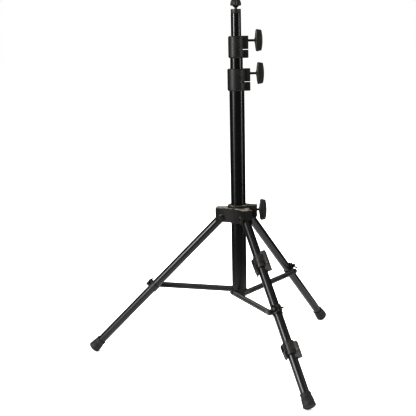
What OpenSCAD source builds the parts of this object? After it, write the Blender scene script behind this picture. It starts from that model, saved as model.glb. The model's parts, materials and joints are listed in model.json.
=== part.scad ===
// Speaker tripod stand with a two-stage telescopic column, a sliding shoulder,
// three braced folding legs and one levelling leg.
// Origin: on the column's axis, on the floor. +Z up, millimetres.

/* [Column] */
// Outside diameter of the lower column tube
lower_tube_d = 38.1; // [38:0.05:38.2]
// Outside diameter of the middle column tube
middle_tube_d = 31.75; // [31.6:0.05:31.9]
// Outside diameter of the top column tube
top_tube_d = 25.4; // [25.3:0.05:25.5]
// Height of the top end of the lower tube
lower_tube_top = 740; // [736:1:742]
// Height of the top end of the middle tube as set
middle_tube_top = 822; // [819:1:826]
// Height of the top end of the top tube as set
top_tube_top = 908; // [880:1:940]

/* [Legs] */
// Azimuth of the rear right leg, in degrees
leg_turn = 50.2; // [0:0.1:119]
// Outside diameter of a leg tube
leg_tube_d = 22; // [21:0.1:22]
// Angle between an open leg and the vertical, in degrees
leg_angle = 44.3; // [43:0.1:45]
// Distance from the column's axis to a leg's pivot
pivot_r = 43.2; // [43:0.1:44]
// Height of the leg pivots
pivot_z = 385; // [380:1:390]
// Distance from a leg's pivot to the end of its rubber foot
leg_length = 524.8; // [524.2:0.1:526]

/* [Braces] */
// Height of the brace pivots on the hub
brace_z = 181.4; // [178:0.1:184]
// Distance from a leg's pivot to its brace bracket, along the leg
bracket_s = 272.4; // [260:0.1:285]
// Height of a brace bar's section
brace_h = 15; // [10:0.5:16]

/* [Collars] */
// Length of a T-handle
handle_length = 54; // [44:1:60]
// Diameter of the T-handle screws
knob_screw_d = 6; // [5:0.1:6]

/* [Levelling leg] */
// Distance from the front leg's pivot to the upper lever clamp
upper_clamp_s = 133; // [128:1:140]
// Distance from the front leg's pivot to the lower lever clamp
lower_clamp_s = 375; // [350:1:375]

/* [Hidden] */
$fn = 96;
run_gap = 0.07;
slip_gap = 0.03;
bolt_gap = 0.06;

lower_r = lower_tube_d / 2;
middle_r = middle_tube_d / 2;
top_r = top_tube_d / 2;
leg_r = leg_tube_d / 2;
lower_wall = 2;
middle_wall = 1.75;
top_wall = 1.5;
leg_wall = 1.5;

right_turn = leg_turn;
left_turn = leg_turn + 120;
front_turn = leg_turn + 240;
leg_turns = [right_turn, left_turn, front_turn];
web_turns = [leg_turn + 60, leg_turn + 180, leg_turn + 300];
knob_turn = leg_turn + 300;

// Hub at the lower end of the column
hub_bottom = 174;
hub_top = 192;
spigot_top = 212;
hub_face = 19.4;
hub_pocket_r = 10;
cap_bottom = 170.5;

// Braces lie beside their legs, in planes that clear the column
brace_in = 19.5;
brace_t = 3.5;
brace_out = brace_in + brace_t;
bracket_r = pivot_r + bracket_s * sin(leg_angle);
bracket_z = pivot_z - bracket_s * cos(leg_angle);
brace_length = sqrt(pow(bracket_r, 2) + pow(bracket_z - brace_z, 2));
brace_angle = atan2(bracket_z - brace_z, bracket_r);
brace_hole_r = 3;
brace_groove_w = 6.4;
brace_groove_depth = 1.4;

// Telescopic tubes
middle_tube_bottom = 250;
top_tube_bottom = 300;
guide_length = 22;

// Lower collar
lower_collar_bottom = 714.1;
lower_collar_slot = 736.6;
lower_collar_top = 770.5;
lower_collar_r = 23.5;
lower_collar_reach = 34.3;
lower_screw_z = 757.9;
lower_handle_x = 51;
// Upper collar
upper_collar_bottom = 797.3;
upper_collar_slot = 818.2;
upper_collar_top = 852.5;
upper_collar_r = 20.3;
upper_collar_reach = 30.2;
upper_screw_z = 840.8;
upper_handle_x = 47.8;
// Features that both collars share
collar_chamfer = 2.5;
collar_step = 1.6;
collar_slot_h = 2.4;
block_w = 18;
bush_wall = 1.5;
pad_w = 8;
pad_h = 12;
pad_depth = 2.9;
pinch_r = 2.5;

// T-handle
handle_depth = 18.4;
handle_w = 16;
handle_socket = 12;

// Shoulder casting
arm_end_r = 59.5;
arm_half_w = 13.3;
web_curve_r = 88;
web_curve_d = (arm_half_w + web_curve_r) / sin(60);
casting_bottom = 372.5;
casting_arm_top = 410;
casting_top = 417.5;
boss_r = 28;
skirt_r = 25;
skirt_bottom = 371;
liner_outer_r = lower_r + 1.35;
liner_screw_r = 23.8;
screw_offset = 45;
cavity_half_w = leg_r + 0.4;
cavity_in = 26.4;
cavity_out = 56;
cavity_top = 407;
seat_gap = 0.15;
pivot_boss_r = 7;
pivot_boss_w = 16;
knob_block_reach = 48;
knob_block_w = 22;
knob_block_bottom = 385;
shoulder_screw_z = 404.5;
shoulder_handle_x = 55;
pivot_bolt_r = 3;

// Leg parts, measured along the leg from its pivot
leg_top_s = -12;
leg_plug_s = 14;
leg_bottom_s = leg_length - 9.8;
foot_top_s = leg_length - 34.8;
foot_end_r = 16;
foot_round = 2.5;
strap_r = leg_r + 2;
strap_w = 17.8;
ear_n = 20.5;
ear_half_w = 5.5;
ear_bolt_n = 17;
ear_bolt_r = 2.5;
bracket_boss_r = 7;
bracket_boss_t = 19.3;

// Levelling leg
front_tube_s = 6;
carrier_front_n = -13.05;
carrier_back_n = -16.4;
carrier_w = 10;
carrier_end_s = lower_clamp_s + 17;
clamp_r = 15;
clamp_h = 34;
clamp_lug_turn = 55;
clamp_lug_reach = 22.5;
clamp_lug_w = 15;
upper_lug_top = 26;
lower_lug_top = 12;
lug_bottom = -28;
lug_seam = -5;
lug_screw_up = -10;
lug_screw_reach = 18.6;
lever_pin_t = -15.8;
lever_pin_up = -6.5;
lower_lever_stretch = 0.65;
ear_round = 5;
ear_out = 18.4;
ear_up = 11;
lever_pin_r = 2;
lever_w = 12.4;
lever_cam_r = 2.7;
rivet_r = 1.5;

// Top end
plug_top = top_tube_top + 11.4;
stud_neck_r = 3.175;
stud_neck_h = 4;
stud_thread_r = 2.9;
stud_top = plug_top + 18;
top_knob_bottom = plug_top + 4.1;
dome_z = plug_top + 10.6;
dome_r = 13.6;
dome_h = 17;

tube_black = [0.035, 0.035, 0.04];
casting_black = [0.09, 0.088, 0.085];
plastic_black = [0.07, 0.07, 0.07];
rubber_black = [0.045, 0.045, 0.05];
steel_dark = [0.2, 0.2, 0.21];
nylon_grey = [0.3, 0.3, 0.3];

// ---------- placing ----------

// A vertical plane through the column's axis: +X points along the azimuth
module leg_plane(turn) {
    rotate([0, 0, turn]) children();
}

// The frame of an open leg: pivot at the origin, +X on its outer side, +Z up the leg
module leg_frame(turn) {
    leg_plane(turn) translate([pivot_r, 0, pivot_z]) rotate([0, -leg_angle, 0]) children();
}

// The same frame moved a distance down the leg
module along_leg(turn, s) {
    leg_frame(turn) translate([0, 0, -s]) children();
}

// A brace's frame: hub pivot at the origin, +X towards the leg
module brace_frame(turn) {
    leg_plane(turn) translate([0, 0, brace_z]) rotate([0, -brace_angle, 0]) children();
}

// A cylinder along Y between two values of y
module cross_rod(r, y0, y1) {
    translate([0, y1, 0]) rotate([90, 0, 0]) cylinder(r = r, h = y1 - y0);
}

// A cylinder along X between two values of x
module radial_rod(r, x0, x1) {
    translate([x0, 0, 0]) rotate([0, 90, 0]) cylinder(r = r, h = x1 - x0);
}

// A plain tube between two heights
module tube(outer_r, wall, z0, z1) {
    translate([0, 0, z0]) difference() {
        cylinder(r = outer_r, h = z1 - z0);
        translate([0, 0, -1]) cylinder(r = outer_r - wall, h = z1 - z0 + 2);
    }
}

// A ring whose two outer edges are chamfered
module chamfered_rod(r, z0, z1, chamfer) {
    rotate_extrude() polygon([
        [0, z0], [r - chamfer, z0], [r, z0 + chamfer],
        [r, z1 - chamfer], [r - chamfer, z1], [0, z1]]);
}

// ---------- column ----------

module lower_tube() {
    color(tube_black) tube(lower_r, lower_wall, hub_top, lower_tube_top);
}

module brace_hub() {
    spigot_r = lower_r - lower_wall - slip_gap;
    color(casting_black) difference() {
        union() {
            translate([0, 0, hub_bottom]) cylinder(r = lower_r, h = hub_top - hub_bottom);
            translate([0, 0, hub_bottom]) cylinder(r = spigot_r, h = spigot_top - hub_bottom);
            for (turn = leg_turns) leg_plane(turn)
                translate([-9, -hub_face, hub_bottom + 0.8]) cube([18, 14, 15.2]);
        }
        translate([0, 0, hub_bottom - 1]) cylinder(r = hub_pocket_r, h = 9);
        for (turn = leg_turns) leg_plane(turn) translate([0, 0, brace_z])
            cross_rod(brace_hole_r + slip_gap, -hub_face - 1, -11.5);
    }
}

module column_end_cap() {
    color(plastic_black) {
        rotate_extrude() polygon([
            [0, cap_bottom], [lower_r - 1.5, cap_bottom], [lower_r, cap_bottom + 1.5],
            [lower_r, hub_bottom], [hub_pocket_r - 0.05, hub_bottom],
            [hub_pocket_r - 0.05, hub_bottom + 6], [0, hub_bottom + 6]]);
    }
}

module hub_pivot_bolts() {
    color(steel_dark) for (turn = leg_turns) leg_plane(turn) translate([0, 0, brace_z])
        difference() {
            union() {
                cross_rod(brace_hole_r, -brace_out - 0.1, -12);
                cross_rod(5.5, -brace_out - 2.5, -brace_out - 0.05);
            }
            translate([0, -brace_out - 1.2, 0]) rotate([90, 0, 0])
                cylinder(r = 2, h = 4, $fn = 6);
        }
}

// ---------- collars ----------

// A clamp collar: it pinches the lower tube of a stage and brakes the upper one
module collar(clamp_tube_r, slide_tube_r, sleeve_r, z0, z_slot, z1, seat_z, reach, screw_z) {
    slot_low = z_slot - collar_slot_h / 2;
    slot_high = z_slot + collar_slot_h / 2;
    bush_r = slide_tube_r + bush_wall + run_gap;
    pinch_x = (sleeve_r + reach) / 2 - 0.3;
    pinch_z = (z0 + slot_low) / 2;
    step_angle = atan2(z1 - slot_high, sleeve_r * 1.15);
    difference() {
        union() {
            chamfered_rod(sleeve_r - collar_step, z0, z1, collar_chamfer);
            // the thicker band ends on a slanting line that runs down to the slot
            difference() {
                chamfered_rod(sleeve_r, z0, z1, collar_chamfer);
                translate([sleeve_r * 0.92, -50, slot_high]) rotate([0, -90 + step_angle, 0])
                    cube([80, 100, 100]);
            }
            translate([0, -block_w / 2, slot_high]) cube([reach, block_w, z1 - slot_high]);
            translate([0, -block_w / 2, z0]) cube([reach, block_w, slot_low - z0]);
        }
        translate([0, 0, z0 - 1]) cylinder(r = clamp_tube_r + 0.05, h = seat_z - z0 + 1);
        translate([0, 0, seat_z - 1]) cylinder(r = bush_r + 0.05, h = z1 - seat_z + 2);
        translate([sleeve_r * 0.4, -50, slot_low]) cube([80, 100, collar_slot_h]);
        translate([clamp_tube_r - 2, -0.9, z0 - 1]) cube([80, 1.8, slot_low - z0 + 2]);
        translate([pinch_x, 0, pinch_z]) {
            cross_rod(pinch_r + 0.05, -20, 20);
            cross_rod(4.7, -20, -block_w / 2 + 2);
            cross_rod(5.2, block_w / 2 - 2, 20);
        }
        translate([0, 0, screw_z]) {
            radial_rod(knob_screw_d / 2 + bolt_gap, 0, reach + 1);
            translate([0, -pad_w / 2 - 0.1, -pad_h / 2 - 0.1])
                cube([bush_r + pad_depth + 0.1, pad_w + 0.2, pad_h + 0.2]);
        }
    }
}

// The bush that guides a sliding tube, with a window for the brake pad
module collar_bush(slide_tube_r, z0, z1, screw_z) {
    difference() {
        tube(slide_tube_r + bush_wall + run_gap, bush_wall, z0, z1);
        translate([0, -pad_w / 2 - 0.1, screw_z - pad_h / 2 - 0.1])
            cube([60, pad_w + 0.2, pad_h + 0.2]);
    }
}

// The pad that a knob's screw presses on a tube, hollowed to the tube's curve
module brake_pad(tube_r, back_x, screw_z) {
    difference() {
        translate([0, -pad_w / 2, screw_z - pad_h / 2]) cube([back_x, pad_w, pad_h]);
        translate([0, 0, screw_z - pad_h]) cylinder(r = tube_r + 0.05, h = pad_h * 2);
    }
}

// The pinch bolt across a collar's lower lug, with its nut
module pinch_bolt(sleeve_r, reach, z0, z_slot) {
    x = (sleeve_r + reach) / 2 - 0.3;
    z = (z0 + z_slot - collar_slot_h / 2) / 2;
    half = block_w / 2;
    translate([x, 0, z]) {
        difference() {
            union() {
                cross_rod(pinch_r, -half + 1, half + 2.5);
                cross_rod(4.5, -half - 1.5, -half + 2);
            }
            translate([0, -half, 0]) rotate([90, 0, 0]) cylinder(r = 2.3, h = 4, $fn = 6);
        }
        difference() {
            translate([0, half + 1.9, 0]) rotate([90, 0, 0]) cylinder(r = 4.9, h = 3.9, $fn = 6);
            cross_rod(pinch_r + 0.05, half - 3, half + 3);
        }
    }
}

// A T-handle's screw along +X, from its tip to inside the handle
module knob_screw(tip_x, handle_x) {
    difference() {
        radial_rod(knob_screw_d / 2, tip_x, handle_x + handle_socket);
        radial_rod(1, tip_x - 1, tip_x + 1);
    }
}

// A T-handle standing across the end of its screw
module knob_handle(handle_x) {
    half = handle_length / 2;
    steps = [-1 : 0.125 : 1];
    inner = [for (k = steps) [3.8 * pow(max(0, abs(k) - 0.3) / 0.7, 1.5), k * half]];
    outer = [for (k = steps) [handle_depth - 1.3 * pow(k, 2), -k * half]];
    side = [for (k = steps) [handle_w / 2 - 2.2 * pow(k, 2) - 1.5 * pow(k, 8), k * half]];
    mirrored = [for (k = steps) [-handle_w / 2 + 2.2 * pow(k, 2) + 1.5 * pow(k, 8), -k * half]];
    translate([handle_x, 0, 0]) difference() {
        union() {
            intersection() {
                rotate([90, 0, 0]) linear_extrude(handle_w + 2, center = true)
                    polygon(concat(inner, outer));
                rotate([90, 0, 90]) linear_extrude(handle_depth + 2)
                    polygon(concat(side, mirrored));
            }
            radial_rod(7.4, -0.8, 6);
        }
        radial_rod(knob_screw_d / 2 + slip_gap, -2, handle_socket + 0.1);
    }
}

module lower_collar() {
    color(casting_black)
        collar(lower_r, middle_r, lower_collar_r, lower_collar_bottom, lower_collar_slot,
            lower_collar_top, lower_tube_top, lower_collar_reach, lower_screw_z);
}

module lower_collar_bush() {
    color(nylon_grey) collar_bush(middle_r, lower_tube_top, lower_collar_top - 0.8, lower_screw_z);
}

module lower_pinch_bolt() {
    color(steel_dark)
        pinch_bolt(lower_collar_r, lower_collar_reach, lower_collar_bottom, lower_collar_slot);
}

module lower_brake_pad() {
    color(nylon_grey)
        brake_pad(middle_r, middle_r + bush_wall + run_gap + pad_depth, lower_screw_z);
}

module lower_knob_screw() {
    color(steel_dark) translate([0, 0, lower_screw_z])
        knob_screw(middle_r + bush_wall + pad_depth + 0.2, lower_handle_x);
}

module lower_knob_handle() {
    color(plastic_black) translate([0, 0, lower_screw_z]) knob_handle(lower_handle_x);
}

module upper_collar() {
    color(casting_black)
        collar(middle_r, top_r, upper_collar_r, upper_collar_bottom, upper_collar_slot,
            upper_collar_top, middle_tube_top, upper_collar_reach, upper_screw_z);
}

module upper_collar_bush() {
    color(nylon_grey) collar_bush(top_r, middle_tube_top, upper_collar_top - 0.8, upper_screw_z);
}

module upper_pinch_bolt() {
    color(steel_dark)
        pinch_bolt(upper_collar_r, upper_collar_reach, upper_collar_bottom, upper_collar_slot);
}

module upper_brake_pad() {
    color(nylon_grey) brake_pad(top_r, top_r + bush_wall + run_gap + pad_depth, upper_screw_z);
}

module upper_knob_screw() {
    color(steel_dark) translate([0, 0, upper_screw_z])
        knob_screw(top_r + bush_wall + pad_depth + 0.2, upper_handle_x);
}

module upper_knob_handle() {
    color(plastic_black) translate([0, 0, upper_screw_z]) knob_handle(upper_handle_x);
}

// ---------- telescopic stages ----------

// A guide on a tube's lower end that fills the gap to the tube around it
module stage_guide(inner_tube_r, outer_bore_r, z0) {
    rotate_extrude() polygon([
        [inner_tube_r - 3, z0 - 3], [outer_bore_r - 1, z0 - 3],
        [outer_bore_r - run_gap, z0 - 2], [outer_bore_r - run_gap, z0 + guide_length],
        [inner_tube_r + slip_gap, z0 + guide_length], [inner_tube_r + slip_gap, z0],
        [inner_tube_r - 3, z0]]);
}

module middle_tube() {
    color(tube_black) tube(middle_r, middle_wall, middle_tube_bottom, middle_tube_top);
}

module middle_guide() {
    color(nylon_grey) stage_guide(middle_r, lower_r - lower_wall, middle_tube_bottom);
}

module top_tube() {
    color(tube_black) tube(top_r, top_wall, top_tube_bottom, top_tube_top);
}

module top_guide() {
    color(nylon_grey) stage_guide(top_r, middle_r - middle_wall, top_tube_bottom);
}

module top_plug() {
    stem_r = top_r - top_wall - 0.05;
    color(plastic_black) difference() {
        rotate_extrude() polygon([
            [0, top_tube_top - 20], [stem_r, top_tube_top - 20], [stem_r, top_tube_top],
            [top_r - 0.5, top_tube_top], [top_r, top_tube_top + 0.5], [top_r, plug_top - 0.8],
            [top_r - 0.8, plug_top], [0, plug_top]]);
        translate([0, 0, plug_top - 24]) cylinder(r = 4 + slip_gap, h = 30);
    }
}

module top_stud() {
    color(steel_dark) {
        rotate_extrude() polygon([
            [0, plug_top - 23.5], [4, plug_top - 23.5], [4, plug_top],
            [stud_neck_r, plug_top], [stud_neck_r, plug_top + stud_neck_h],
            [stud_thread_r, plug_top + stud_neck_h], [stud_thread_r, stud_top - 1],
            [stud_thread_r - 1, stud_top], [0, stud_top]]);
    }
}

module top_knob() {
    dome = [for (a = [0 : 7.5 : 90]) [dome_r * cos(a), dome_z + dome_h * sin(a)]];
    color(plastic_black) difference() {
        rotate_extrude() polygon(concat(
            [[0, top_knob_bottom], [4.2, top_knob_bottom], [8.6, top_knob_bottom + 4.2],
             [12.4, top_knob_bottom + 4.6], [dome_r, top_knob_bottom + 5.6]], dome));
        translate([0, 0, top_knob_bottom - 1]) cylinder(r = stud_thread_r + 0.05, h = 16);
        for (i = [0 : 9]) rotate([0, 0, i * 36 + 18])
            translate([dome_r + 1.9, 0, top_knob_bottom]) cylinder(r = 3, h = 40);
    }
}

// ---------- shoulder ----------

// The casting's arms: a triangular plate whose sides are hollowed between the legs
module shoulder_arms() {
    difference() {
        translate([0, 0, casting_bottom]) rotate([0, 0, leg_turn - 60])
            cylinder(r = arm_end_r * 2, h = casting_arm_top - casting_bottom, $fn = 3);
        for (turn = web_turns) leg_plane(turn)
            translate([web_curve_d, 0, casting_bottom - 1]) cylinder(r = web_curve_r, h = 60);
    }
}

// Height of an open leg's outer side at a distance from the column's axis
function seat_z(r) = pivot_z
    + (leg_r + seat_gap - (r - pivot_r) * cos(leg_angle)) / sin(leg_angle);

// The pocket that a leg folds into, with the seat that stops the open leg
module leg_pocket() {
    low = skirt_bottom - 10;
    mouth = arm_end_r + 10;
    rotate([90, 0, 0]) linear_extrude(cavity_half_w * 2, center = true) polygon([
        [cavity_in, low], [mouth, low], [mouth, seat_z(mouth)],
        [cavity_out, seat_z(cavity_out)], [cavity_out, cavity_top], [cavity_in, cavity_top]]);
}

module shoulder_casting() {
    color(casting_black) difference() {
        union() {
            shoulder_arms();
            translate([0, 0, casting_bottom])
                cylinder(r = boss_r, h = casting_top - casting_bottom - 1);
            translate([0, 0, casting_top - 1]) cylinder(r1 = boss_r, r2 = boss_r - 1, h = 1);
            translate([0, 0, skirt_bottom])
                cylinder(r = skirt_r, h = casting_bottom - skirt_bottom + 1);
            leg_plane(knob_turn) translate([liner_screw_r, -knob_block_w / 2, knob_block_bottom])
                cube([knob_block_reach - liner_screw_r, knob_block_w,
                    casting_top - knob_block_bottom]);
            for (turn = leg_turns) leg_plane(turn) translate([pivot_r, 0, pivot_z])
                cross_rod(pivot_boss_r, -pivot_boss_w, pivot_boss_w);
        }
        translate([0, 0, skirt_bottom - 1]) cylinder(r = liner_outer_r, h = 60);
        for (turn = leg_turns) {
            leg_plane(turn) {
                leg_pocket();
                translate([pivot_r, 0, pivot_z]) cross_rod(pivot_bolt_r + slip_gap, -30, 30);
            }
            leg_plane(turn - screw_offset) translate([liner_screw_r, 0, casting_top - 1.8]) {
                cylinder(r = 2.6, h = 4);
                translate([0, 0, -7]) cylinder(r = 1.55, h = 8);
            }
        }
        leg_plane(knob_turn) translate([0, 0, shoulder_screw_z]) {
            radial_rod(knob_screw_d / 2 + bolt_gap, 0, knob_block_reach + 1);
            translate([0, -pad_w / 2 - 0.1, -pad_h / 2 - 0.1])
                cube([liner_outer_r + pad_depth + 0.1, pad_w + 0.2, pad_h + 0.2]);
        }
    }
}

module shoulder_liner() {
    color(nylon_grey) difference() {
        tube(liner_outer_r - 0.05, liner_outer_r - 0.05 - lower_r - run_gap,
            skirt_bottom + 0.5, casting_top - 0.5);
        leg_plane(knob_turn)
            translate([0, -pad_w / 2 - 0.1, shoulder_screw_z - pad_h / 2 - 0.1])
                cube([60, pad_w + 0.2, pad_h + 0.2]);
    }
}

module liner_screws() {
    color(steel_dark) for (turn = leg_turns) leg_plane(turn - screw_offset)
        translate([liner_screw_r, 0, casting_top - 1.8]) difference() {
            union() {
                cylinder(r = 2.5, h = 1.6);
                translate([0, 0, -6.5]) cylinder(r = 1.5, h = 7);
            }
            translate([0, 0, 0.9]) cylinder(r = 1.3, h = 2, $fn = 6);
        }
}

module leg_pivot_bolts() {
    color(steel_dark) for (turn = leg_turns) leg_plane(turn) translate([pivot_r, 0, pivot_z])
        difference() {
            union() {
                cross_rod(pivot_bolt_r, -pivot_boss_w - 1, pivot_boss_w + 4.5);
                cross_rod(5, -pivot_boss_w - 3, -pivot_boss_w);
            }
            translate([0, -pivot_boss_w - 1.2, 0]) rotate([90, 0, 0])
                cylinder(r = 2.3, h = 4, $fn = 6);
        }
}

module leg_pivot_nuts() {
    color(steel_dark) for (turn = leg_turns) leg_plane(turn) translate([pivot_r, 0, pivot_z])
        difference() {
            translate([0, pivot_boss_w + 4, 0]) rotate([90, 0, 0])
                cylinder(r = 5.6, h = 4, $fn = 6);
            cross_rod(pivot_bolt_r + slip_gap, pivot_boss_w - 1, pivot_boss_w + 5);
        }
}

module shoulder_brake_pad() {
    color(nylon_grey) leg_plane(knob_turn)
        brake_pad(lower_r, liner_outer_r + pad_depth, shoulder_screw_z);
}

module shoulder_knob_screw() {
    color(steel_dark) leg_plane(knob_turn) translate([0, 0, shoulder_screw_z])
        knob_screw(liner_outer_r + pad_depth + 0.1, shoulder_handle_x);
}

module shoulder_knob_handle() {
    color(plastic_black) leg_plane(knob_turn) translate([0, 0, shoulder_screw_z])
        knob_handle(shoulder_handle_x);
}

// ---------- legs ----------

// A leg tube between two distances from its pivot
module leg_tube(turn, s0, s1) {
    difference() {
        along_leg(turn, s1) tube(leg_r, leg_wall, 0, s1 - s0);
        leg_frame(turn) cross_rod(pivot_bolt_r + 0.3, -20, 20);
    }
}

// The insert that fills a leg tube's upper end and turns on the pivot bolt
module leg_plug(turn) {
    difference() {
        along_leg(turn, leg_plug_s)
            cylinder(r = leg_r - leg_wall - 0.05, h = leg_plug_s - leg_top_s);
        leg_frame(turn) cross_rod(pivot_bolt_r + bolt_gap, -20, 20);
    }
}

// A rubber foot: a flared cap, cut flat where it stands on the floor
module foot(turn) {
    bore_r = leg_r + 0.05;
    rim = [for (a = [0 : 15 : 90])
        [foot_end_r - foot_round + foot_round * cos(a),
         -leg_length + foot_round - foot_round * sin(a)]];
    difference() {
        leg_frame(turn) rotate_extrude() polygon(concat(
            [[bore_r, -foot_top_s], [12.8, -foot_top_s], [13.5, -foot_top_s - 0.8],
             [13.9, -foot_top_s - 12]], rim,
            [[0, -leg_length], [0, -leg_bottom_s - 0.1], [bore_r, -leg_bottom_s - 0.1]]));
        translate([-1000, -1000, -50]) cube([2000, 2000, 50]);
    }
}

// The strap round a leg tube, its two pinched ears and the boss that meets the brace
module leg_bracket(turn, bore_gap) {
    along_leg(turn, bracket_s) difference() {
        union() {
            cylinder(r = strap_r, h = strap_w, center = true);
            translate([leg_r - 1, -ear_half_w, -strap_w / 2])
                cube([ear_n - leg_r + 1, ear_half_w * 2, strap_w]);
            cross_rod(bracket_boss_r, -bracket_boss_t, -leg_r + 1);
        }
        cylinder(r = leg_r + bore_gap, h = strap_w * 2, center = true);
        translate([leg_r - 1, -1.2, -strap_w]) cube([20, 2.4, strap_w * 2]);
        translate([ear_bolt_n, 0, 0]) cross_rod(ear_bolt_r + 0.05, -20, 20);
        cross_rod(brace_hole_r + 0.1, -bracket_boss_t - 1, -14);
        translate([carrier_front_n - 1, 0, 0]) rotate([0, 90, 0])
            cylinder(r = rivet_r + 0.05, h = 2);
    }
}

// The bolt through a bracket's ears, with its wing nut
module bracket_bolt(turn) {
    wing = [[1.5, -9], [2.5, -7], [9, -12], [9.6, -16], [8, -18.6], [5.2, -17], [4, -12.5]];
    along_leg(turn, bracket_s) translate([ear_bolt_n, 0, 0]) {
        cross_rod(ear_bolt_r, -11.5, ear_half_w + 1);
        translate([0, ear_half_w + 7.5, 0]) rotate([90, 0, 0])
            cylinder(r1 = 1, r2 = 3.6, h = 7.5);
        difference() {
            union() {
                cross_rod(4.6, -10.5, -ear_half_w);
                for (side = [0, 1]) mirror([0, 0, side])
                    rotate([0, -90, 0]) linear_extrude(2.4, center = true) polygon(wing);
            }
            cross_rod(ear_bolt_r + 0.05, -11.6, -ear_half_w + 1);
        }
    }
}

module left_leg_tube() {
    color(tube_black) leg_tube(left_turn, leg_top_s, leg_bottom_s);
}

module left_leg_plug() {
    color(plastic_black) leg_plug(left_turn);
}

module left_foot() {
    color(rubber_black) foot(left_turn);
}

module left_bracket() {
    color(casting_black) leg_bracket(left_turn, slip_gap);
}

module left_bracket_bolt() {
    color(steel_dark) bracket_bolt(left_turn);
}

module right_leg_tube() {
    color(tube_black) leg_tube(right_turn, leg_top_s, leg_bottom_s);
}

module right_leg_plug() {
    color(plastic_black) leg_plug(right_turn);
}

module right_foot() {
    color(rubber_black) foot(right_turn);
}

module right_bracket() {
    color(casting_black) leg_bracket(right_turn, slip_gap);
}

module right_bracket_bolt() {
    color(steel_dark) bracket_bolt(right_turn);
}

// ---------- levelling leg ----------

// The rail behind the front tube: it turns on the shoulder and carries both clamps
module front_leg_carrier() {
    eye_r = 11.2;
    color(casting_black) leg_frame(front_turn) difference() {
        union() {
            difference() {
                cross_rod(eye_r, -leg_r, leg_r);
                translate([-20, -20, -45.4]) cube([40, 40, 40]);
            }
            translate([carrier_back_n, -carrier_w / 2, -5.4]) cube([12, carrier_w, 5.4]);
            translate([carrier_back_n, -carrier_w / 2, -carrier_end_s])
                cube([carrier_front_n - carrier_back_n, carrier_w, carrier_end_s]);
        }
        cross_rod(pivot_bolt_r + bolt_gap, -20, 20);
        for (s = rivet_places()) translate([carrier_back_n - 1, 0, -s]) rotate([0, 90, 0])
            cylinder(r = rivet_r + 0.05, h = 10);
    }
}

// Where the rivets of the rail are, along the leg
function rivet_places() = [
    upper_clamp_s - 10, upper_clamp_s + 10, bracket_s,
    lower_clamp_s - 10, lower_clamp_s + 10];

module carrier_rivets() {
    color(steel_dark) leg_frame(front_turn) for (s = rivet_places()) translate([0, 0, -s]) {
        radial_rod(rivet_r, carrier_back_n - 0.5, carrier_front_n + 0.9);
        radial_rod(2.8, carrier_back_n - 1.3, carrier_back_n);
    }
}

module front_bracket() {
    color(casting_black) leg_bracket(front_turn, run_gap);
}

module front_bracket_bolt() {
    color(steel_dark) bracket_bolt(front_turn);
}

// One of the two ears that hold a clamp's lever
module clamp_ear() {
    rotate([90, 0, 90]) linear_extrude(2.6, center = true) {
        for (up = [lever_pin_up, ear_up]) translate([ear_round - ear_out, up])
            circle(r = ear_round);
        translate([-ear_out, lever_pin_up]) square([2 * ear_round, ear_up - lever_pin_up]);
    }
}

// A lever clamp round the sliding tube
module lever_clamp(s, lug_top) {
    along_leg(front_turn, s) difference() {
        union() {
            cylinder(r = clamp_r, h = clamp_h, center = true);
            rotate([0, 0, clamp_lug_turn])
                translate([8, -clamp_lug_w / 2, lug_bottom])
                    cube([clamp_lug_reach - 8, clamp_lug_w, lug_top - lug_bottom]);
            for (side = [-1, 1]) translate([side * 7.9, 0, 0]) clamp_ear();
        }
        cylinder(r = leg_r + run_gap, h = clamp_h * 2, center = true);
        translate([-30, -20, -clamp_h]) cube([30 + carrier_front_n, 40, clamp_h * 2]);
        translate([-6.6, -42.95, -clamp_h]) cube([13.2, 30, clamp_h * 2]);
        rotate([0, 0, clamp_lug_turn]) {
            translate([leg_r - 1, -0.7, -clamp_h]) cube([30, 1.4, clamp_h * 2]);
            translate([clamp_lug_reach - 2, -20, lug_seam]) cube([10, 40, 1.4]);
            translate([lug_screw_reach, 0, lug_screw_up]) cross_rod(lever_pin_r + 0.05, -20, 20);
        }
        translate([0, lever_pin_t, lever_pin_up]) radial_rod(lever_pin_r + 0.05, -20, 20);
        for (up = [-10, 10]) translate([0, 0, up])
            radial_rod(rivet_r + 0.05, carrier_front_n - 1, carrier_front_n + 1);
    }
}

// The lever's pivot pin and the screw across the clamp's lug
module clamp_pins(s) {
    along_leg(front_turn, s) {
        translate([0, lever_pin_t, lever_pin_up]) radial_rod(lever_pin_r, -9.2, 9.2);
        rotate([0, 0, clamp_lug_turn]) translate([lug_screw_reach, 0, lug_screw_up]) {
            cross_rod(lever_pin_r, -clamp_lug_w / 2 - 1, clamp_lug_w / 2 + 1);
            cross_rod(3.6, -clamp_lug_w / 2 - 2.4, -clamp_lug_w / 2);
        }
    }
}

// The lever that locks the clamp, lying along the leg when it is closed
module clamp_lever(s, stretch) {
    outline = [
        [lever_pin_t + lever_cam_r, 0], [lever_pin_t + lever_cam_r, -24 * stretch],
        [-13.9, -27.5 * stretch], [-16.4, -30.5 * stretch], [-17.8, -29.5 * stretch],
        [-17.4, -25 * stretch], [-18.7, -20 * stretch], [-19.1, -13 * stretch],
        [-19, -6 * stretch], [lever_pin_t - lever_cam_r, 0]];
    along_leg(front_turn, s) translate([0, 0, lever_pin_up]) difference() {
        union() {
            rotate([90, 0, 90]) linear_extrude(lever_w, center = true) polygon(outline);
            translate([0, lever_pin_t, 0]) radial_rod(lever_cam_r, -lever_w / 2, lever_w / 2);
        }
        translate([0, lever_pin_t, 0]) radial_rod(lever_pin_r + bolt_gap, -20, 20);
    }
}

module upper_clamp() {
    color(casting_black) lever_clamp(upper_clamp_s, upper_lug_top);
}

module upper_clamp_pins() {
    color(steel_dark) clamp_pins(upper_clamp_s);
}

module upper_clamp_lever() {
    color(plastic_black) clamp_lever(upper_clamp_s, 1);
}

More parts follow.
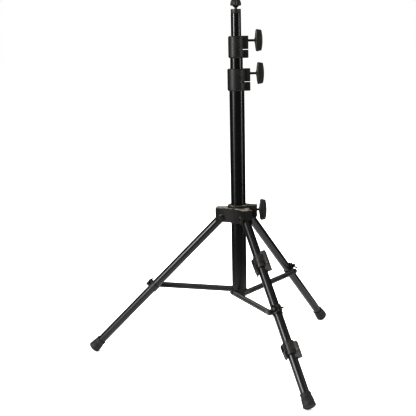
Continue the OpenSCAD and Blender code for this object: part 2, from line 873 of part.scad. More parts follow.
module lower_clamp() {
    color(casting_black) lever_clamp(lower_clamp_s, lower_lug_top);
}

module lower_clamp_pins() {
    color(steel_dark) clamp_pins(lower_clamp_s);
}

module lower_clamp_lever() {
    color(plastic_black) clamp_lever(lower_clamp_s, lower_lever_stretch);
}

module front_leg_tube() {
    color(tube_black) leg_tube(front_turn, front_tube_s, leg_bottom_s);
}

module front_leg_cap() {
    color(plastic_black) along_leg(front_turn, front_tube_s + 16)
        cylinder(r = leg_r - leg_wall - 0.05, h = 16);
}

module front_foot() {
    color(rubber_black) foot(front_turn);
}

// ---------- braces ----------

// A brace's outline: a bar with round ends
module bar_outline(length, half_h) {
    circle(r = half_h);
    translate([length, 0]) circle(r = half_h);
    translate([0, -half_h]) square([length, half_h * 2]);
}

module brace(turn) {
    groove_start = 20;
    groove_length = brace_length - 2 * groove_start;
    brace_frame(turn) difference() {
        translate([0, -brace_in, 0]) rotate([90, 0, 0]) linear_extrude(brace_t)
            bar_outline(brace_length, brace_h / 2);
        for (y = [-brace_out + brace_groove_depth, -brace_in + 1])
            translate([groove_start, y, 0]) rotate([90, 0, 0])
                linear_extrude(1 + brace_groove_depth)
                    bar_outline(groove_length, brace_groove_w / 2);
        cross_rod(brace_hole_r + bolt_gap, -brace_out - 5, -brace_in + 5);
        translate([brace_length, 0, 0])
            cross_rod(brace_hole_r + slip_gap, -brace_out - 5, -brace_in + 5);
    }
}

module brace_rivet(turn) {
    brace_frame(turn) translate([brace_length, 0, 0]) {
        cross_rod(brace_hole_r, -brace_out - 0.5, -brace_in);
        cross_rod(5.2, -brace_out - 1.8, -brace_out);
    }
}

module left_brace() {
    color(casting_black) brace(left_turn);
}

module left_brace_rivet() {
    color(steel_dark) brace_rivet(left_turn);
}

module right_brace() {
    color(casting_black) brace(right_turn);
}

module right_brace_rivet() {
    color(steel_dark) brace_rivet(right_turn);
}

module front_brace() {
    color(casting_black) brace(front_turn);
}

module front_brace_rivet() {
    color(steel_dark) brace_rivet(front_turn);
}

lower_tube();
brace_hub();
column_end_cap();
hub_pivot_bolts();
lower_collar();
lower_collar_bush();
lower_pinch_bolt();
lower_brake_pad();
lower_knob_screw();
lower_knob_handle();
middle_tube();
middle_guide();
upper_collar();
upper_collar_bush();
upper_pinch_bolt();
upper_brake_pad();
upper_knob_screw();
upper_knob_handle();
top_tube();
top_guide();
top_plug();
top_stud();
top_knob();
shoulder_casting();
shoulder_liner();
liner_screws();
leg_pivot_bolts();
leg_pivot_nuts();
shoulder_brake_pad();
shoulder_knob_screw();
shoulder_knob_handle();
left_leg_tube();
left_leg_plug();
left_foot();
left_bracket();
left_bracket_bolt();
right_leg_tube();
right_leg_plug();
right_foot();
right_bracket();
right_bracket_bolt();
front_leg_carrier();
carrier_rivets();
front_bracket();
front_bracket_bolt();
upper_clamp();
upper_clamp_pins();
upper_clamp_lever();
lower_clamp();
lower_clamp_pins();
lower_clamp_lever();
front_leg_tube();
front_leg_cap();
front_foot();
left_brace();
left_brace_rivet();
right_brace();
right_brace_rivet();
front_brace();
front_brace_rivet();
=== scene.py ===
import json
import math

import bmesh
import bpy
from mathutils import Matrix, Vector


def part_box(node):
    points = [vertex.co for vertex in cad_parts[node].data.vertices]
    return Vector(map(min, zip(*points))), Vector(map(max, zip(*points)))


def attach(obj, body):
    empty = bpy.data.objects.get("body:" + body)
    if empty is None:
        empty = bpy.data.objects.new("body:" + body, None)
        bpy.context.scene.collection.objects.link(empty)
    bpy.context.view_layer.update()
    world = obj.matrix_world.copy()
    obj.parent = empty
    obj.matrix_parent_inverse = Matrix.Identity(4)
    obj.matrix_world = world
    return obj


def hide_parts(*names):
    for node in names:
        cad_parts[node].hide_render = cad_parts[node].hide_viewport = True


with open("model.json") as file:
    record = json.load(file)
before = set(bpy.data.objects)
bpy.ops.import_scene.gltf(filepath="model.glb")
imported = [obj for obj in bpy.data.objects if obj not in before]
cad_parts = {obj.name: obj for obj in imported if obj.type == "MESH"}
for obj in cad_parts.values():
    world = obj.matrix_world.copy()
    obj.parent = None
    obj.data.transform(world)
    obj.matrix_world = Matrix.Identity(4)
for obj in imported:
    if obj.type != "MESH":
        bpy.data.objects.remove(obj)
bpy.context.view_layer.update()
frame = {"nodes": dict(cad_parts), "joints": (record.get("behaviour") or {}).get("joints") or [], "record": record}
NODES = frame["nodes"]
JOINTS = {joint["name"]: joint for joint in frame["joints"]}
SIDES = ("left", "right", "front")
MM = 0.001

# ---------- driving sizes, in metres, as the CAD part has them ----------

TAU = 2 * math.pi
LEG_R = 11 * MM
LEG_LENGTH = 524.8 * MM
FOOT_LENGTH = 34.8 * MM
BRACKET_S = 272.4 * MM
BRACE_HALF_H = 7.5 * MM
BRACE_INNER = 19.5 * MM
BRACE_OUTER = 23 * MM
HANDLE_LENGTH = 54 * MM
HANDLE_WIDTH = 16 * MM
SCREW_R = 3 * MM
STUD_R = 4 * MM
STUD_NECK_R = 3.175 * MM
STUD_NECK = 4 * MM
TOP_TUBE_R = 12.7 * MM
PLUG_SPIGOT_R = 11.1 * MM
PLUG_BORE_R = 4.05 * MM

# ---------- sizes of the visual pieces alone ----------

BRACE_ROLL = 1.1 * MM
BRACE_GROOVE_START = 20 * MM
BRACE_GROOVE_HALF = 1.9 * MM
BRACE_GROOVE_UP = 1.6 * MM
BRACE_GROOVE_DEPTH = 1.4 * MM
GROOVE_LIP = ((0.9, 0.0), (0.6, 0.05), (0.3, 0.35), (0.1, 0.8), (-0.2, 0.97), (-0.8, 1.0))
HANDLE_DEPTH = 19 * MM
HANDLE_BULGE = 3.2 * MM
HANDLE_TAPER = 2.4 * MM
HANDLE_NARROWING = 2.2 * MM
HANDLE_TIP_NARROWING = 1.5 * MM
HANDLE_TIP = 0.93
HANDLE_TIP_SHRINK = 0.38
HANDLE_SQUARENESS = 3.4
HANDLE_SEAM = 0.045
HANDLE_SLANT = 0.9 * MM
HANDLE_HUB_LIP = 0.8 * MM
SCREW_PITCH = 1 * MM
STUD_PITCH = 1.27 * MM
STUD_THREAD_R = 2.9 * MM
THREAD_DEPTH = 0.35
KNOB_R = 13.6 * MM
KNOB_RIM_R = 13.3 * MM
KNOB_FLUTES = 10
KNOB_FLUTE_DEPTH = 0.13
PLUG_SEAM_DEPTH = 0.5 * MM
PLUG_SEAM_UP = 2.9 * MM
FOOT_SOLE_R = 16 * MM
FOOT_RINGS = 3
FOOT_FIRST_RING = 13 * MM
FOOT_RING_STEP = 3.6 * MM
FOOT_FLARE = 0.45 * MM
FLOOR_GLOW = 0.12
FLOOR_R = 30
MIRRORED_FLOOR_R = 0.75
CONTRAST = 0.7
CAMERA_AT = (-0.1071, -2.4160, 0.8617)
CAMERA_PITCH = math.radians(10.603)
CAMERA_YAW = math.radians(0.642)
CAMERA_ROLL = math.radians(-1.127)
CAMERA_LENS = 80.99
Z_TO_X = Matrix(((0, 0, 1, 0), (0, 1, 0, 0), (-1, 0, 0, 0), (0, 0, 0, 1)))


# ---------- shared mesh helpers ----------

def add_piece(name, verts, faces, material, body, replaced=()):
    """A new smooth mesh object that rides on a body and stands for CAD nodes."""
    mesh = bpy.data.meshes.new(name)
    mesh.from_pydata([tuple(v) for v in verts], [], faces)
    mesh.update()
    return finish_piece(bpy.data.objects.new(name, mesh), material, body, replaced)


def finish_piece(piece, material, body, replaced=()):
    """Closes the seams of a piece, turns its faces outward and parents it to its body's empty."""
    if piece.name not in bpy.context.scene.collection.objects:
        bpy.context.scene.collection.objects.link(piece)
    edit = bmesh.new()
    edit.from_mesh(piece.data)
    bmesh.ops.remove_doubles(edit, verts=edit.verts, dist=1e-6)
    bmesh.ops.recalc_face_normals(edit, faces=edit.faces)
    edit.to_mesh(piece.data)
    edit.free()
    piece.data.materials.clear()
    piece.data.materials.append(material)
    for face in piece.data.polygons:
        face.use_smooth = True
        face.material_index = 0
    if replaced:
        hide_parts(*replaced)
    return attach(piece, body)


def apply_modifiers(piece):
    """Bakes a piece's modifiers into its mesh."""
    bpy.context.view_layer.update()
    seen = piece.evaluated_get(bpy.context.evaluated_depsgraph_get())
    mesh = bpy.data.meshes.new_from_object(seen)
    piece.modifiers.clear()
    old = piece.data
    piece.data = mesh
    bpy.data.meshes.remove(old)


def softened(node, name, material, body, voxel, rounds, keep=0.5):
    """A copy of a CAD node with cast or moulded edges: remeshed, relaxed and thinned out."""
    piece = bpy.data.objects.new(name, NODES[node].data.copy())
    bpy.context.scene.collection.objects.link(piece)
    edit = bmesh.new()
    edit.from_mesh(piece.data)
    bmesh.ops.remove_doubles(edit, verts=edit.verts, dist=2e-6)
    edit.to_mesh(piece.data)
    edit.free()
    remesh = piece.modifiers.new("remesh", "REMESH")
    remesh.mode = "VOXEL"
    remesh.voxel_size = voxel
    relax = piece.modifiers.new("relax", "SMOOTH")
    relax.factor = 0.5
    relax.iterations = rounds
    thin = piece.modifiers.new("thin", "DECIMATE")
    thin.ratio = keep
    apply_modifiers(piece)
    return finish_piece(piece, material, body, (node,))


def bridged(rows, steps, capped=False):
    """Faces between closed rows of points, and over both end rows if capped."""
    faces = []
    for i in range(rows - 1):
        for j in range(steps):
            k = (j + 1) % steps
            faces.append((i * steps + j, i * steps + k, (i + 1) * steps + k, (i + 1) * steps + j))
    if capped:
        faces.append(tuple(range(steps))[::-1])
        faces.append(tuple((rows - 1) * steps + j for j in range(steps)))
    return faces


def lathe(profile, steps=96, ripple=None):
    """Vertices and faces of a profile of (radius, height) turned about Z. ripple(angle, i)
    scales the radius of profile point i."""
    verts = []
    for i, (radius, height) in enumerate(profile):
        for j in range(steps):
            angle = TAU * j / steps
            r = radius * (ripple(angle, i) if ripple else 1)
            verts.append(Vector((r * math.cos(angle), r * math.sin(angle), height)))
    return verts, bridged(len(profile), steps)


def rounded(points, radius, steps=4):
    """A polyline of (r, z) points whose inner corners are rounded by short arcs."""
    out = [points[0]]
    for before, corner, after in zip(points, points[1:], points[2:]):
        a = Vector(before) - Vector(corner)
        b = Vector(after) - Vector(corner)
        cut = min(radius, a.length * 0.45, b.length * 0.45)
        start = Vector(corner) + a.normalized() * cut
        end = Vector(corner) + b.normalized() * cut
        for i in range(steps + 1):
            t = i / steps
            at = start * (1 - t) ** 2 + Vector(corner) * 2 * t * (1 - t) + end * t ** 2
            out.append((at.x, at.y))
    out.append(points[-1])
    return out


def placed(verts, matrix):
    """Points moved by a matrix."""
    return [matrix @ Vector(v) for v in verts]


def joined(*parts):
    """Several (verts, faces) meshes as one."""
    verts = []
    faces = []
    for part_verts, part_faces in parts:
        base = len(verts)
        verts += list(part_verts)
        faces += [tuple(i + base for i in face) for face in part_faces]
    return verts, faces


def threaded_rod(radius, pitch, low, high, steps=36, per_turn=8):
    """A rod along Z with a helical thread: the crest winds round as the height grows."""
    depth = THREAD_DEPTH * pitch
    rows = int((high - low) / pitch * per_turn)
    verts = []
    for i in range(rows + 1):
        height = low + (high - low) * i / rows
        fade = min(1, (height - low) / pitch, (high - height) / pitch)
        for j in range(steps):
            angle = TAU * j / steps
            phase = (height / pitch - angle / TAU) % 1
            ridge = abs(2 * phase - 1)
            r = radius - depth * (1 - min(1, max(0, 1.6 * ridge - 0.3))) * fade
            r = r - 0.3 * depth * (1 - fade)
            verts.append(Vector((r * math.cos(angle), r * math.sin(angle), height)))
    return verts, bridged(rows + 1, steps, True)


# ---------- places, from the frame's joints ----------

def leg_matrix(side):
    """The frame of an open leg: pivot at the origin, +X on its outer side, +Z up the leg."""
    pivot = Vector(JOINTS[side + "_leg_fold"]["pos_m"])
    across = Vector(JOINTS[side + "_leg_fold"]["axis"])
    outward = across.cross(Vector((0, 0, 1)))
    angle = math.acos(-Vector(JOINTS["levelling_slide"]["axis"]).z)
    normal = outward * math.cos(angle) + Vector((0, 0, math.sin(angle)))
    up = -outward * math.sin(angle) + Vector((0, 0, math.cos(angle)))
    turned = Matrix((normal, across, up)).transposed().to_4x4()
    return Matrix.Translation(pivot) @ turned


def brace_matrix(side):
    """A brace's frame, +X to its outer pivot, and the brace's length between pivots."""
    pivot = Vector(JOINTS[side + "_brace_fold"]["pos_m"])
    across = -Vector(JOINTS[side + "_brace_fold"]["axis"])
    outer = leg_matrix(side) @ Vector((0, 0, -BRACKET_S))
    along = (outer - pivot).normalized()
    up = along.cross(across)
    turned = Matrix((along, across, up)).transposed().to_4x4()
    return Matrix.Translation(pivot) @ turned, (outer - pivot).length


def screw_matrix(joint):
    """A T-handle's frame: +X along its screw, +Z up."""
    axis = Vector(JOINTS[joint]["axis"])
    across = Vector((0, 0, 1)).cross(axis)
    turned = Matrix((axis, across, Vector((0, 0, 1)))).transposed().to_4x4()
    centre = Vector((0, 0, JOINTS[joint]["pos_m"][2]))
    return Matrix.Translation(centre) @ turned, axis


# ---------- materials ----------

class Nodes:
    """A short way to build a material's node tree."""

    def __init__(self, name):
        self.material = bpy.data.materials.new(name)
        self.material.use_nodes = True
        self.tree = self.material.node_tree
        self.shader = self.tree.nodes["Principled BSDF"]
        self.place = self.tree.nodes.new("ShaderNodeTexCoord").outputs["Object"]

    def link(self, source, target):
        self.tree.links.new(source, target)

    def noise(self, scale, detail=3.0, rough=0.6, stretch=None):
        node = self.tree.nodes.new("ShaderNodeTexNoise")
        node.inputs["Scale"].default_value = scale
        node.inputs["Detail"].default_value = detail
        node.inputs["Roughness"].default_value = rough
        place = self.place
        if stretch:
            mapping = self.tree.nodes.new("ShaderNodeMapping")
            mapping.inputs["Scale"].default_value = stretch
            self.link(place, mapping.inputs["Vector"])
            place = mapping.outputs["Vector"]
        self.link(place, node.inputs["Vector"])
        return node.outputs["Fac"]

    def spread(self, value, low, high, to_low=0.0, to_high=1.0):
        node = self.tree.nodes.new("ShaderNodeMapRange")
        node.inputs["From Min"].default_value = low
        node.inputs["From Max"].default_value = high
        node.inputs["To Min"].default_value = to_low
        node.inputs["To Max"].default_value = to_high
        self.link(value, node.inputs["Value"])
        return node.outputs["Result"]

    def mix(self, fac, dark, light):
        node = self.tree.nodes.new("ShaderNodeMix")
        node.data_type = "RGBA"
        self.link(fac, node.inputs["Factor"])
        for socket, value in ((node.inputs[6], dark), (node.inputs[7], light)):
            if isinstance(value, tuple):
                socket.default_value = (*value, 1)
            else:
                self.link(value, socket)
        return node.outputs[2]

    def bump(self, height, strength, distance, below=None):
        node = self.tree.nodes.new("ShaderNodeBump")
        node.inputs["Strength"].default_value = strength
        node.inputs["Distance"].default_value = distance
        self.link(height, node.inputs["Height"])
        if below:
            self.link(below, node.inputs["Normal"])
        return node.outputs["Normal"]

    def edges(self, low, high):
        """Where the surface is sharply convex, from 0 to 1."""
        node = self.tree.nodes.new("ShaderNodeNewGeometry")
        return self.spread(node.outputs["Pointiness"], low, high)

    def grime_and_top_light(self, amount):
        """Grime and painted top light: faces that look up turn paler, broken into patches."""
        geometry = self.tree.nodes.new("ShaderNodeNewGeometry")
        split = self.tree.nodes.new("ShaderNodeSeparateXYZ")
        self.link(geometry.outputs["Normal"], split.inputs["Vector"])
        # Painted light from above, partly grime: the paleness grows as the face turns upward.
        product = self.tree.nodes.new("ShaderNodeMath")
        product.operation = "MULTIPLY"
        self.link(self.spread(split.outputs["Z"], 0.2, 1.0, 0.0, amount), product.inputs[0])
        self.link(self.spread(self.noise(90, 4), 0.4, 0.65), product.inputs[1])
        return product.outputs["Value"]


def paint_material(name, smoothest, roughest):
    """Black powder coat with a faint orange peel."""
    n = Nodes(name)
    n.shader.inputs["IOR"].default_value = 1.5
    patches = n.spread(n.noise(14, 4), 0.35, 0.65)
    n.link(n.mix(patches, (0.0042, 0.0042, 0.0047), (0.0068, 0.0066, 0.007)),
        n.shader.inputs["Base Color"])
    haze = n.noise(60, 5, 0.65, (1.0, 1.0, 0.25))
    n.link(n.spread(haze, 0.3, 0.7, smoothest, roughest), n.shader.inputs["Roughness"])
    peel = n.bump(n.noise(900, 2, 0.5), 0.04, 0.0002)
    n.link(n.bump(n.noise(160, 2), 0.02, 0.0004, peel), n.shader.inputs["Normal"])
    return n.material


def casting_material(name, top_grime_and_light, top_grime_and_light_colour, specular):
    """Satin black paint on cast aluminium, grainy and paler on its edges."""
    n = Nodes(name)
    n.shader.inputs["Specular IOR Level"].default_value = specular
    patches = n.spread(n.noise(45, 5), 0.3, 0.7)
    body = n.mix(patches, (0.0085, 0.0083, 0.008), (0.0145, 0.0141, 0.0134))
    worn = n.mix(n.edges(0.53, 0.62), body, (0.05, 0.047, 0.043))
    # Faces that look up are mixed towards a paler colour: partly grime, partly painted light falling from above.
    n.link(n.mix(n.grime_and_top_light(top_grime_and_light), worn, top_grime_and_light_colour), n.shader.inputs["Base Color"])
    n.link(n.spread(n.noise(250, 4), 0.3, 0.7, 0.40, 0.56), n.shader.inputs["Roughness"])
    grain = n.bump(n.noise(1500, 3, 0.6), 0.35, 0.00022)
    n.link(n.bump(n.noise(380, 2), 0.12, 0.0004, grain), n.shader.inputs["Normal"])
    return n.material


def bar_material():
    """Satin black paint on pressed steel, with a fine grain."""
    n = Nodes("satin_black_bar")
    patches = n.spread(n.noise(38, 5), 0.3, 0.7)
    body = n.mix(patches, (0.010, 0.010, 0.010), (0.019, 0.0185, 0.018))
    n.link(n.mix(n.edges(0.53, 0.62), body, (0.075, 0.073, 0.07)), n.shader.inputs["Base Color"])
    n.link(n.spread(n.noise(200, 4), 0.3, 0.7, 0.36, 0.5), n.shader.inputs["Roughness"])
    n.link(n.bump(n.noise(1100, 3), 0.2, 0.0002), n.shader.inputs["Normal"])
    return n.material


def fastener_material():
    """Black oxide steel, oily and slightly brown where it is rubbed."""
    n = Nodes("black_oxide_steel")
    n.shader.inputs["Metallic"].default_value = 0.75
    patches = n.spread(n.noise(220, 5), 0.35, 0.7)
    body = n.mix(patches, (0.014, 0.0136, 0.013), (0.03, 0.0285, 0.0265))
    n.link(n.mix(n.edges(0.54, 0.64), body, (0.09, 0.086, 0.08)), n.shader.inputs["Base Color"])
    n.link(n.spread(n.noise(400, 4), 0.3, 0.7, 0.28, 0.48), n.shader.inputs["Roughness"])
    n.link(n.bump(n.noise(1600, 2), 0.12, 0.00015), n.shader.inputs["Normal"])
    return n.material


def plastic_material():
    """Charcoal moulding with a spark-eroded texture."""
    n = Nodes("textured_black_moulding")
    patches = n.spread(n.noise(70, 4), 0.3, 0.7)
    body = n.mix(patches, (0.011, 0.0107, 0.0098), (0.017, 0.0164, 0.0150))
    n.link(n.mix(n.edges(0.53, 0.63), body, (0.045, 0.043, 0.038)), n.shader.inputs["Base Color"])
    n.link(n.spread(n.noise(500, 4), 0.3, 0.7, 0.42, 0.58), n.shader.inputs["Roughness"])
    n.link(n.bump(n.noise(2300, 2, 0.5), 0.45, 0.00015), n.shader.inputs["Normal"])
    return n.material


def nylon_material():
    """Dark nylon, slightly waxy."""
    n = Nodes("dark_nylon")
    patches = n.spread(n.noise(80, 3), 0.3, 0.7)
    n.link(n.mix(patches, (0.030, 0.030, 0.030), (0.046, 0.045, 0.044)),
        n.shader.inputs["Base Color"])
    n.link(n.spread(n.noise(300, 3), 0.3, 0.7, 0.38, 0.5), n.shader.inputs["Roughness"])
    n.link(n.bump(n.noise(900, 2), 0.1, 0.0002), n.shader.inputs["Normal"])
    return n.material


def rubber_material():
    """Matte black rubber, speckled and greyed on faces that look up."""
    n = Nodes("matte_black_rubber")
    n.shader.inputs["Specular IOR Level"].default_value = 0.35
    patches = n.spread(n.noise(120, 5), 0.3, 0.7)
    body = n.mix(patches, (0.013, 0.013, 0.0135), (0.022, 0.022, 0.0225))
    n.link(n.mix(n.grime_and_top_light(0.2), body, (0.08, 0.078, 0.074)), n.shader.inputs["Base Color"])
    n.link(n.spread(n.noise(300, 4), 0.3, 0.7, 0.5, 0.7), n.shader.inputs["Roughness"])
    n.link(n.bump(n.noise(1800, 3), 0.4, 0.0002), n.shader.inputs["Normal"])
    return n.material


PAINT = paint_material("gloss_powder_coat", 0.22, 0.28)
LEG_PAINT = paint_material("satin_powder_coat", 0.33, 0.39)
CASTING = casting_material("satin_black_casting", 0.3, (0.12, 0.11, 0.097), 0.45)
# The shoulder's pale, warm top face is mostly painted light from above, with some grime.
SPIDER = casting_material("painted_top_light_black_casting", 1.0, (0.38, 0.343, 0.30), 0.28)
BAR = bar_material()
FASTENER = fastener_material()
PLASTIC = plastic_material()
NYLON = nylon_material()
RUBBER = rubber_material()
BY_SLOT = {
    "black_tube": PAINT, "black_casting": CASTING, "black_steel_bar": BAR,
    "black_steel_fastener": FASTENER, "black_plastic": PLASTIC,
    "grey_nylon": NYLON, "black_rubber": RUBBER}


COLUMN_TUBES = ("lower_tube", "middle_tube", "top_tube")


def dress_cad_nodes():
    """Each CAD node that stays takes the material of its slot in the record."""
    for row in frame["record"]["subparts"]:
        mesh = NODES[row["node"]].data
        mesh.materials.clear()
        is_leg = row["material_slot"] == "black_tube" and row["node"] not in COLUMN_TUBES
        mesh.materials.append(LEG_PAINT if is_leg else BY_SLOT[row["material_slot"]])
        for face in mesh.polygons:
            face.material_index = 0


# ---------- T-handles ----------

def handle_section(k):
    """Inner depth, outer depth and half width of a T-handle at k, from -1 to 1."""
    swell = max(0, abs(k) - 0.3) / 0.7
    inner = HANDLE_TAPER * swell ** 1.5
    outer = HANDLE_DEPTH - HANDLE_BULGE * k ** 2
    half_width = HANDLE_WIDTH / 2 - HANDLE_NARROWING * k ** 2 - HANDLE_TIP_NARROWING * abs(k) ** 8
    return inner, outer, half_width


def handle_mesh():
    """A T-handle: a bar of rounded, squarish sections that swells towards its middle."""
    half = HANDLE_LENGTH / 2
    stations = 40
    steps = 48
    verts = []
    for i in range(stations + 1):
        k = -math.cos(math.pi * i / stations)
        inner, outer, half_width = handle_section(k)
        past_tip = max(0, (abs(k) - HANDLE_TIP) / (1 - HANDLE_TIP))
        close = math.sqrt(max(0, 1 - past_tip ** 2))
        shrink = 1 - HANDLE_TIP_SHRINK + HANDLE_TIP_SHRINK * close
        centre = (inner + outer) / 2
        half_depth = (outer - inner) / 2 * shrink
        for j in range(steps):
            angle = TAU * j / steps
            c, s = math.cos(angle), math.sin(angle)
            power = HANDLE_SQUARENESS
            squared = (abs(c) ** power + abs(s) ** power) ** (-1 / power)
            seam = 1 - HANDLE_SEAM * math.exp(-((abs(s) - 1) / 0.05) ** 2) * (1 - k ** 4)
            slant = HANDLE_SLANT * c * k ** 8 * (1 if k > 0 else -1)
            verts.append(Vector((
                centre + half_depth * squared * c,
                half_width * shrink * squared * s * seam,
                half * k - slant)))
    hub = rounded([(SCREW_R + 0.05 * MM, -HANDLE_HUB_LIP), (7.3 * MM, -HANDLE_HUB_LIP),
        (7.5 * MM, 5.5 * MM), (5 * MM, 6.5 * MM)], 0.8 * MM)
    hub_verts, hub_faces = lathe(hub, 48)
    bar = (verts, bridged(stations + 1, steps, True))
    return joined(bar, (placed(hub_verts, Z_TO_X), hub_faces))


def nearest_along(node, axis):
    """How far along an axis a CAD node starts."""
    return min(v.co.dot(axis) for v in NODES[node].data.vertices)


def make_handles():
    """The three T-handles, each on the body of its own knob."""
    for name in ("lower", "upper", "shoulder"):
        matrix, axis = screw_matrix(name + "_knob_turn")
        node = name + "_knob_handle"
        reach = nearest_along(node, axis) + HANDLE_HUB_LIP
        verts, faces = handle_mesh()
        shift = Matrix.Translation((reach, 0, 0))
        add_piece(name + "_t_handle", placed(verts, matrix @ shift), faces, PLASTIC,
            name + "_knob", (node,))
        make_knob_screw(name, matrix, axis, reach)


def make_knob_screw(name, matrix, axis, reach):
    """The threaded screw between a collar and its T-handle."""
    node = name + "_knob_screw"
    tip = nearest_along(node, axis)
    verts, faces = threaded_rod(SCREW_R, SCREW_PITCH, tip, reach + 2 * MM)
    add_piece(name + "_threaded_screw", placed(verts, matrix @ Z_TO_X), faces, FASTENER,
        name + "_knob", (node,))


# ---------- top end ----------

def make_top_knob():
    """The knurled knob: ten finger flutes that run out over a domed crown."""
    low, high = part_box("top_knob")
    waist = low.z + 6.5 * MM
    crown = high.z - waist
    profile = [(3.0 * MM, low.z + 8 * MM), (3.0 * MM, low.z), (4.2 * MM, low.z)]
    profile += [(8.4 * MM, low.z + 4.0 * MM), (12.0 * MM, low.z + 4.3 * MM)]
    rim = len(profile) - 1
    profile += [(KNOB_RIM_R, low.z + 5.1 * MM)]
    for i in range(25):
        a = math.pi / 2 * i / 24
        profile.append((max(KNOB_R * math.cos(a) ** 0.8, 0.01 * MM), waist + crown * math.sin(a)))

    def flute(angle, i):
        if i < rim:
            return 1
        reach = min(1, max(0, (profile[i][0] / KNOB_R - 0.35) / 0.5))
        wave = abs(math.cos(KNOB_FLUTES / 2 * angle)) ** 0.6
        return 1 - KNOB_FLUTE_DEPTH * reach * (1 - wave)

    verts, faces = lathe(profile, 240, flute)
    add_piece("knurled_top_knob", verts, faces, PLASTIC, "stud_knob",
        ("top_knob",))


def make_top_stud():
    """The stud: plain neck below, thread above."""
    low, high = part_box("top_stud")
    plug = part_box("top_plug")[1].z
    neck_top = plug + STUD_NECK
    neck = lathe(rounded([(0.1 * MM, low.z), (STUD_R, low.z), (STUD_R, plug),
        (STUD_NECK_R, plug), (STUD_NECK_R, neck_top), (2.4 * MM, neck_top + 0.4 * MM)],
        0.2 * MM, 2), 48)
    thread = threaded_rod(STUD_THREAD_R, STUD_PITCH, neck_top + 0.3 * MM, high.z)
    verts, faces = joined(neck, thread)
    add_piece("threaded_stud", verts, faces, FASTENER, "top_stage",
        ("top_stud",))


def make_top_plug():
    """The moulded plug that closes the top tube, with a parting groove above the tube."""
    low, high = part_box("top_plug")
    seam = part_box("top_tube")[1].z
    r = TOP_TUBE_R
    groove = seam + PLUG_SEAM_UP
    profile = rounded([(PLUG_BORE_R, low.z), (PLUG_SPIGOT_R, low.z), (PLUG_SPIGOT_R, seam),
        (r, seam), (r, groove - 0.3 * MM), (r - PLUG_SEAM_DEPTH, groove), (r, groove + 0.3 * MM),
        (r, high.z), (PLUG_BORE_R, high.z), (PLUG_BORE_R, low.z)], 0.7 * MM)
    verts, faces = lathe(profile, 96)
    add_piece("top_tube_plug", verts, faces, PLASTIC, "top_stage",
        ("top_plug",))


# ---------- collars, shoulder and clamps ----------

def make_castings():
    """Cast and moulded pieces keep their CAD shape and get rounded edges."""
    softened("lower_collar", "lower_collar_casting", CASTING, "column",
        0.55 * MM, 7)
    softened("upper_collar", "upper_collar_casting", CASTING, "middle_stage",
        0.5 * MM, 7)
    softened("shoulder_casting", "shoulder_spider", SPIDER, "shoulder",
        0.7 * MM, 6, 0.4)
    softened("brace_hub", "brace_hub_casting", CASTING, "column", 0.6 * MM, 6)
    for end in ("upper", "lower"):
        softened(end + "_clamp", end + "_clamp_body", CASTING, "front_leg",
            0.45 * MM, 6)
        softened(end + "_clamp_lever", end + "_cam_lever", PLASTIC, end + "_lever",
            0.3 * MM, 8)
    for side in SIDES:
        body = side + "_leg"
        softened(side + "_bracket", side + "_leg_strap", CASTING, body,
            0.45 * MM, 5)
        softened(side + "_bracket_bolt", side + "_wing_nut", FASTENER, body,
            0.3 * MM, 6)


# ---------- feet ----------

def make_feet():
    """Rubber feet: a flared boot with a rolled rim, three grip rings and a wider flat sole."""
    for side in SIDES:
        s_top = -(LEG_LENGTH - FOOT_LENGTH)
        bottom = -LEG_LENGTH
        outer = [(LEG_R + 0.05 * MM, s_top - 3 * MM), (LEG_R + 0.05 * MM, s_top),
            (12.9 * MM, s_top), (13.6 * MM, s_top - 0.8 * MM), (13.7 * MM, s_top - 3.4 * MM),
            (13.0 * MM, s_top - 4.0 * MM), (13.3 * MM, s_top - 9 * MM)]
        for ring in range(FOOT_RINGS):
            z = s_top - FOOT_FIRST_RING - FOOT_RING_STEP * ring
            r = 13.9 * MM + FOOT_FLARE * ring
            outer += [(r - 0.25 * MM, z + 1.6 * MM), (r + 0.45 * MM, z + 0.7 * MM),
                (r + 0.45 * MM, z - 0.7 * MM), (r - 0.15 * MM, z - 1.5 * MM)]
        outer += [(FOOT_SOLE_R - 0.4 * MM, bottom + 7 * MM), (FOOT_SOLE_R, bottom + 2.6 * MM),
            (13.6 * MM, bottom), (0.1 * MM, bottom)]
        profile = rounded(outer, 1.2 * MM)
        verts, faces = lathe(profile, 96)
        verts = placed(verts, leg_matrix(side))
        for v in verts:
            v.z = max(v.z, 0.0)
        body = "levelling_tube" if side == "front" else side + "_leg"
        add_piece(side + "_rubber_foot", verts, faces, RUBBER, body,
            (side + "_foot",))


# ---------- braces ----------

def stadium(start, end, radius, y, up=0.0, steps=20):
    """Points round a bar's outline with round ends, in the plane at y."""
    points = []
    for centre, first in ((end, -math.pi / 2), (start, math.pi / 2)):
        for i in range(steps + 1):
            a = first + math.pi * i / steps
            points.append(Vector((centre + radius * math.cos(a), y, up + radius * math.sin(a))))
    return points


def make_braces():
    """Pressed steel bars: rolled edges and a long groove on each face."""
    roll = BRACE_ROLL
    for side in SIDES:
        matrix, length = brace_matrix(side)
        rings = []
        for y, sign in ((-BRACE_INNER, 1), (-BRACE_OUTER, -1)):
            half = [stadium(0, length, BRACE_HALF_H, y - sign * roll)]
            for i in (1, 2, 3):
                a = math.pi / 2 * i / 3
                half.append(stadium(0, length, BRACE_HALF_H - roll * (1 - math.cos(a)),
                    y - sign * roll * (1 - math.sin(a))))
            g0, g1 = BRACE_GROOVE_START, length - BRACE_GROOVE_START
            for out, down in GROOVE_LIP:
                half.append(stadium(g0, g1, BRACE_GROOVE_HALF + out * MM,
                    y - sign * BRACE_GROOVE_DEPTH * down, BRACE_GROOVE_UP))
            half.append(stadium(g0, g1, 0.2 * MM, y - sign * BRACE_GROOVE_DEPTH,
                BRACE_GROOVE_UP))
            rings = [*reversed(half), *rings] if sign > 0 else [*rings, *half]
        verts = [p for ring in rings for p in ring]
        faces = bridged(len(rings), len(rings[0]), True)
        add_piece(side + "_pressed_brace", placed(verts, matrix), faces, BAR,
            side + "_brace_arm", (side + "_brace",))


# ---------- stage ----------

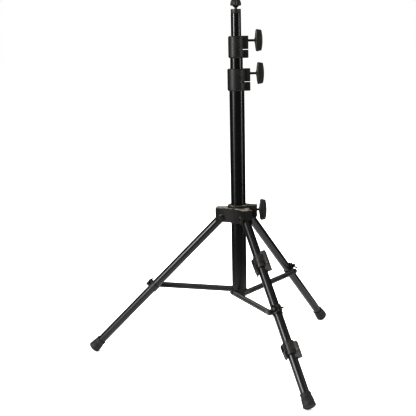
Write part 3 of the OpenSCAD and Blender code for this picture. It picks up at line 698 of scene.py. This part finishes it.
def floor_material():
    """Matte off-white paper that glows a little."""
    n = Nodes("pale_floor")
    shade = n.mix(n.noise(0.8, 3), (0.93, 0.93, 0.93), (0.96, 0.96, 0.96))
    n.link(shade, n.shader.inputs["Base Color"])
    n.link(shade, n.shader.inputs["Emission Color"])
    n.shader.inputs["Emission Strength"].default_value = FLOOR_GLOW
    n.shader.inputs["Roughness"].default_value = 0.9
    n.shader.inputs["Specular IOR Level"].default_value = 0.1
    return n.material


def floor_sheet(name, radius, height, material):
    """A round flat sheet that belongs to the stage."""
    verts = [(radius * math.cos(TAU * i / 64), radius * math.sin(TAU * i / 64), 0)
        for i in range(64)]
    mesh = bpy.data.meshes.new(name)
    mesh.from_pydata(verts, [], [tuple(range(64))])
    mesh.materials.append(material)
    sheet = bpy.data.objects.new(name, mesh)
    sheet.location.z = height
    bpy.context.scene.collection.objects.link(sheet)
    return sheet


def make_floor():
    """A pale studio floor. Only its middle is mirrored in the paint, so edges stay dark."""
    material = floor_material()
    floor_sheet("studio_floor", FLOOR_R, -0.0006, material).visible_glossy = False
    floor_sheet("mirrored_floor", MIRRORED_FLOOR_R, -0.0004, material)


def make_world():
    """Even white surroundings that do not show in reflections."""
    world = bpy.data.worlds.new("studio")
    world.use_nodes = True
    back = world.node_tree.nodes["Background"]
    back.inputs["Color"].default_value = (1, 1, 1, 1)
    back.inputs["Strength"].default_value = 1.0
    world.cycles_visibility.glossy = False
    bpy.context.scene.world = world


def softbox(name, azimuth, distance, height, width, tall, power, warmth=1.0):
    """A soft light that faces the column, at an azimuth from the camera's side."""
    light = bpy.data.lights.new(name, "AREA")
    light.shape = "RECTANGLE"
    light.size = width
    light.size_y = tall
    light.energy = power
    light.color = (1.0, warmth, warmth * warmth)
    lamp = bpy.data.objects.new(name, light)
    a = math.radians(azimuth)
    at = Vector((distance * math.sin(a), -distance * math.cos(a), height))
    aim = Vector((0, 0, 0.55)) - at
    lamp.location = at
    lamp.rotation_euler = aim.to_track_quat("-Z", "Y").to_euler()
    lamp.visible_camera = False
    bpy.context.scene.collection.objects.link(lamp)


def make_lights():
    """Azimuth, distance, height, width, length, power and warmth of each softbox."""
    softbox("key_softbox", -58, 2.6, 1.55, 1.0, 1.6, 140)
    softbox("low_left_strip", -64, 2.4, 0.42, 0.7, 0.8, 9)
    softbox("low_right_strip", 70, 2.4, 0.42, 0.35, 0.8, 9)
    softbox("fill_softbox", 76, 2.6, 1.45, 0.8, 1.6, 40, 0.97)
    softbox("top_softbox", 20, 1.2, 2.6, 1.4, 1.4, 9, 0.96)
    softbox("back_softbox", 180, 2.2, 2.7, 2.0, 1.4, 60, 0.95)


def make_camera():
    """A long lens a little above the stand's middle, level but for a slight roll."""
    pitch, yaw, roll = CAMERA_PITCH, CAMERA_YAW, CAMERA_ROLL
    forward = Vector((math.sin(yaw) * math.cos(pitch), math.cos(yaw) * math.cos(pitch),
        -math.sin(pitch)))
    level = Vector((math.cos(yaw), -math.sin(yaw), 0))
    upright = level.cross(forward)
    right = level * math.cos(roll) + upright * math.sin(roll)
    up = upright * math.cos(roll) - level * math.sin(roll)
    data = bpy.data.cameras.new("camera")
    data.sensor_width = 36
    data.lens = CAMERA_LENS
    camera = bpy.data.objects.new("camera", data)
    turned = Matrix((right, up, -forward)).transposed().to_4x4()
    camera.matrix_world = Matrix.Translation(CAMERA_AT) @ turned
    bpy.context.scene.collection.objects.link(camera)
    bpy.context.scene.camera = camera


make_camera()
dress_cad_nodes()
make_castings()
make_handles()
make_top_knob()
make_top_stud()
make_top_plug()
make_feet()
make_braces()
make_floor()
make_world()
make_lights()
bpy.context.scene.view_settings.view_transform = "Standard"
bpy.context.scene.view_settings.gamma = CONTRAST
